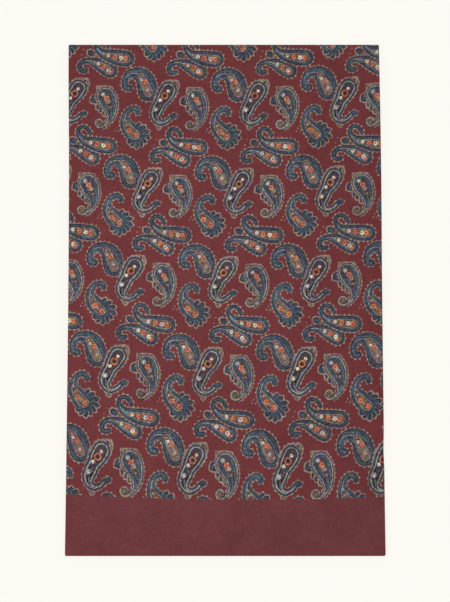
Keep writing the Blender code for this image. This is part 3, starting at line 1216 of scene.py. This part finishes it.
def map_places(across, run, middle_across, middle_run, skin_end):
    """Where corners go on the map; a face's middle decides the part of the map that it belongs to."""
    hidden = np.abs(middle_across) > PRINT_REACH
    inside = middle_run > skin_end
    start = run.min()
    u = MAP_MARGIN + (across + PRINT_REACH) / MAP_SIZE
    wide = 2 * PRINT_REACH / MAP_SIZE + 3 * MAP_MARGIN
    side_u = wide + (np.abs(across) - PRINT_REACH) * BACK_SQUEEZE + BACK_SHIFT * (middle_across < 0)
    u = np.where(hidden, side_u, u)
    u = np.where(inside, INSIDE_LEFT + (across + ROUND_HALF) / ROUND_HALF * INSIDE_WIDTH, u)
    v = np.where(inside, run - skin_end, run - start)
    return np.column_stack([u, MAP_MARGIN + v / MAP_SIZE * MAP_HEIGHT])


# %% Building a piece
SIDE_STRIP = 0.006  # how far in from its side edges the hidden end is printed


def made_piece(name, tile, start, end, spared=0.0):
    """Folds, welds and colours one piece of the tube."""
    printed_part = printed_net(tile, start, min(end, FAR_BORDER), spared)
    points, triangles, inks, rows = whole_sheet(start, end, printed_part, spared)
    along = np.interp(points[:, 1], rows[:, 0], rows[:, 1])
    depth = np.interp(points[:, 1], rows[:, 0], rows[:, 2])
    mesh = inked_mesh(name, fold(points[:, 0], along, depth), triangles, inks)

    middles = points[triangles].mean(1)
    raw_edge = np.interp(middles[:, 1], rows[:, 0], rows[:, 2])
    raw_edge = (raw_edge > HAIR) & (raw_edge < SILK - HAIR)
    mesh.polygons.foreach_set("use_smooth", ~raw_edge)
    skin_rows = rows[rows[:, 2] == 0, 0]
    corners = triangles.ravel()
    places = map_places(
        points[corners, 0],
        points[corners, 1],
        np.repeat(middles[:, 0], 3),
        np.repeat(middles[:, 1], 3),
        skin_rows.max(),
    )
    mesh.uv_layers.new(name="OFBake").data.foreach_set("uv", places.ravel())

    net = bmesh.new()
    net.from_mesh(mesh)
    bmesh.ops.remove_doubles(net, verts=net.verts, dist=TOUCH)
    open_edges = sum(len(edge.link_faces) != 2 for edge in net.edges)
    net.to_mesh(mesh)
    net.free()

    inks = np.zeros(len(mesh.polygons), int)
    mesh.attributes["ink"].data.foreach_get("value", inks)
    colours = mesh.color_attributes.new("silk colour", "FLOAT_COLOR", "CORNER")
    colours.data.foreach_set("color", np.repeat(PALETTE[inks], 3, axis=0).ravel())
    piece = bpy.data.objects.new(name, mesh)
    bpy.context.scene.collection.objects.link(piece)
    print(f"{name}: {len(mesh.polygons)} triangles, {open_edges} edges without two faces")
    return piece


front = made_piece("front_silk", face_tile, 0.0, TOP_END)
under = made_piece("under_silk", under_tile, TOP_END, LOWER_END)
hidden = made_piece("inner_silk", under_tile, LOWER_END, TUBE_LENGTH, spared=FLAT_HALF - SIDE_STRIP)

# %% [markdown]
# ## The silk
#
# Printed silk twill is soft rather than shiny: it has a low, broad sheen, and the threads break it up.
# Dye never takes quite evenly, and the silk's sheen isn't even either, so the colour strays in two ways:
# in soft clouds of every size from centimetres down to a millimetre, and in a grain of about two
# millimetres. Both are partly uneven dye and partly painted sheen: green and blue stray more than red, so
# that lighter patches turn whiter, as if a veil of white light lay on them. The print's finest detail,
# dots and hairlines too small to cut out one by one, is stood for by small cells, each a little lighter or
# darker than its ink and a little off it in colour. The twill itself is far finer than a millimetre, so a
# light bump stands for it, with about a line to the millimetre.
#
# Pictures of real cloth could do the same, but a pattern worked out from the place of each point has no
# seams and needs no files.

# %% Shader nodes
def fill_in(tree, node, values):
    """Sets the inputs of a node, each to a value or to the output of another node."""
    for name, value in values.items():
        if isinstance(value, bpy.types.NodeSocket):
            tree.links.new(value, node.inputs[name])
        else:
            node.inputs[name].default_value = value


def added(tree, kind, values, **settings):
    """Adds a node with its settings and inputs, and gives its outputs."""
    node = tree.nodes.new("ShaderNode" + kind)
    for name, value in settings.items():
        setattr(node, name, value)
    fill_in(tree, node, values)
    return node.outputs


def tinted(tree, colour, pattern, stray):
    """Lets the red, green and blue of a colour each stray with the pattern's, by up to stray in all."""
    lowest = [1 - share / 2 for share in stray]
    tint = added(tree, "VectorMath", {0: pattern, 1: stray, 2: lowest}, operation="MULTIPLY_ADD")
    return added(tree, "VectorMath", {0: colour, 1: tint["Vector"]}, operation="MULTIPLY")["Vector"]


# %% Silk material
SURFACE = {"Roughness": 0.62, "Specular IOR Level": 0.15, "Sheen Weight": 0.04, "Sheen Roughness": 0.4}
CLOUDS = {"Scale": 25.0, "Detail": 6.0, "Roughness": 0.95}  # the scale is to the metre
MOTTLING_AND_SHEEN = (0.95, 1.5, 1.45)  # how strongly red, green and blue each follow the clouds; green and blue follow more, so lighter clouds turn whiter: painted sheen over uneven dye
FINE_NOISE = {"Scale": 420.0, "Detail": 1.0}
GRAIN_AND_SHEEN = (0.4, 0.8, 0.7)  # how strongly red, green and blue each follow the fine noise; again painted sheen over uneven dye
FLECK = 0.0018  # metres, the size of the print's finest flecks
FLECK_DEPTH = (0.65, 1.33)  # how dark and how bright a fleck is against its ink
FLECK_TINT = (0.30, 0.40, 0.66)  # how far a fleck's red, green and blue may each stray
TWILL = {"Scale": 450.0, "Distortion": 1.5}  # this scale gives about a line to the millimetre
TWILL_BUMP = {"Strength": 0.06, "Distance": 0.0001}


def silk_material(name):
    material = bpy.data.materials.new(name)
    material.use_nodes = True
    tree = material.node_tree
    ink = added(tree, "VertexColor", {}, layer_name="silk colour")
    place = added(tree, "TexCoord", {})["Object"]
    clouds = added(tree, "TexNoise", {"Vector": place, **CLOUDS})
    # Uneven dye and painted sheen: the clouds and the grain lighten green and blue more than red, so lighter
    # patches turn whiter.
    colour = tinted(tree, ink["Color"], clouds["Fac"], MOTTLING_AND_SHEEN)
    grain = added(tree, "TexNoise", {"Vector": place, **FINE_NOISE})
    colour = tinted(tree, colour, grain["Color"], GRAIN_AND_SHEEN)

    cells = added(tree, "TexVoronoi", {"Vector": place, "Scale": 1 / FLECK})["Color"]
    chance = added(tree, "SeparateColor", {"Color": cells})["Green"]
    depths = {"Value": chance, "To Min": FLECK_DEPTH[0], "To Max": FLECK_DEPTH[1]}
    depth = added(tree, "MapRange", depths)["Result"]
    tint = tinted(tree, colour, cells, FLECK_TINT)
    flecked = added(tree, "VectorMath", {0: tint, "Scale": depth}, operation="SCALE")["Vector"]
    layers = {"Factor": ink["Alpha"], "A": colour, "B": flecked}
    printed = added(tree, "Mix", layers, data_type="RGBA")["Result"]

    twill = added(tree, "TexWave", {"Vector": place, **TWILL}, bands_direction="DIAGONAL")["Fac"]
    bump = added(tree, "Bump", {"Height": twill, **TWILL_BUMP})["Normal"]
    shader = tree.nodes["Principled BSDF"]
    fill_in(tree, shader, {"Base Color": printed, "Normal": bump, **SURFACE})
    print(f"{name}: {len(tree.nodes)} nodes")
    return material


silk = silk_material("Printed silk")
for piece, slot in ((front, "printed_silk"), (under, "printed_silk"), (hidden, "plain_silk")):
    piece.data.materials.append(silk)
    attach(piece, "root")
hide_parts("front_stretch", "top_fold")
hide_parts("under_stretch", "lower_fold")
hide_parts("inner_layers")

# %% [markdown]
# A wide plane is laid at the foot of the frame, as the floor.

# %% The floor
floor_size = 12.0
bpy.ops.mesh.primitive_plane_add(size=floor_size, location=(0, 0, cad_box[0][2]))
floor = bpy.context.object
floor.name = "floor"

# %% [markdown]
# ## Floor, light and camera
#
# The scarf lies on a nearly white surface in even light, as in a catalogue. Light comes from all round,
# and the floor glows with its own colour, so that it hardly shows a shadow. A long, soft lamp hangs
# above the left half of the silk and lights nothing else. It makes that half slightly brighter and lets
# the light fall off towards the far edges. If it lit the floor too, there would be a bright patch there.
#
# The camera looks down, tilted slightly so that the border end is nearer.

# %% Floor and light
FLOOR_COLOUR = np.array([0.93, 0.905, 0.86])
FLOOR_GLOW = 0.85  # the share of the floor's light that comes from the floor itself
FLOOR_ROUGHNESS = 0.9
WORLD_LIGHT = 1.06
WHITE = (1.0, 1.0, 1.0, 1.0)
paper = bpy.data.materials.new("Pale paper")
paper.use_nodes = True
fill_in(paper.node_tree, paper.node_tree.nodes["Principled BSDF"], {
    "Base Color": (*(FLOOR_COLOUR * (1 - FLOOR_GLOW)), 1.0),
    "Roughness": FLOOR_ROUGHNESS,
    "Specular IOR Level": 0.0,
    "Emission Color": (*FLOOR_COLOUR, 1.0),
    "Emission Strength": FLOOR_GLOW * WORLD_LIGHT,
})
floor.data.materials.append(paper)

world = bpy.data.worlds.new("Studio")
world.use_nodes = True
fill_in(world.node_tree, world.node_tree.nodes["Background"], {"Color": WHITE, "Strength": WORLD_LIGHT})
bpy.context.scene.world = world

LAMP_PLACE = (-0.085, -0.03, 0.30)
LAMP_SIZE = (0.2, 0.5)
LAMP_POWER = 0.40  # watts
bpy.ops.object.light_add(type="AREA", location=LAMP_PLACE)
lamp = bpy.context.object
lamp.data.shape = "RECTANGLE"
lamp.data.size, lamp.data.size_y = LAMP_SIZE
lamp.data.energy = LAMP_POWER
silk_only = bpy.data.collections.new("lit by the lamp")
for piece in (front, under, hidden):
    silk_only.objects.link(piece)
lamp.light_linking.receiver_collection = silk_only

bpy.context.scene.view_settings.view_transform = "Standard"
bpy.context.scene.view_settings.look = "None"

# %% Camera
CAMERA_DISTANCE = 0.8352
CAMERA_TILT = math.radians(7.2)
CAMERA_AIM = Vector((0.00125, -0.0108, 0.0045))
LENS = 50.0  # mm
FILM_HEIGHT = 36.0
camera_data = bpy.data.cameras.new("Camera")
camera_data.lens = LENS
camera_data.sensor_fit = "VERTICAL"
camera_data.sensor_height = FILM_HEIGHT
camera = bpy.data.objects.new("Camera", camera_data)
camera.location = CAMERA_AIM + CAMERA_DISTANCE * Vector((0.0, -math.sin(CAMERA_TILT), math.cos(CAMERA_TILT)))
camera.rotation_euler = (CAMERA_TILT, 0.0, 0.0)
bpy.context.scene.collection.objects.link(camera)
bpy.context.scene.camera = camera
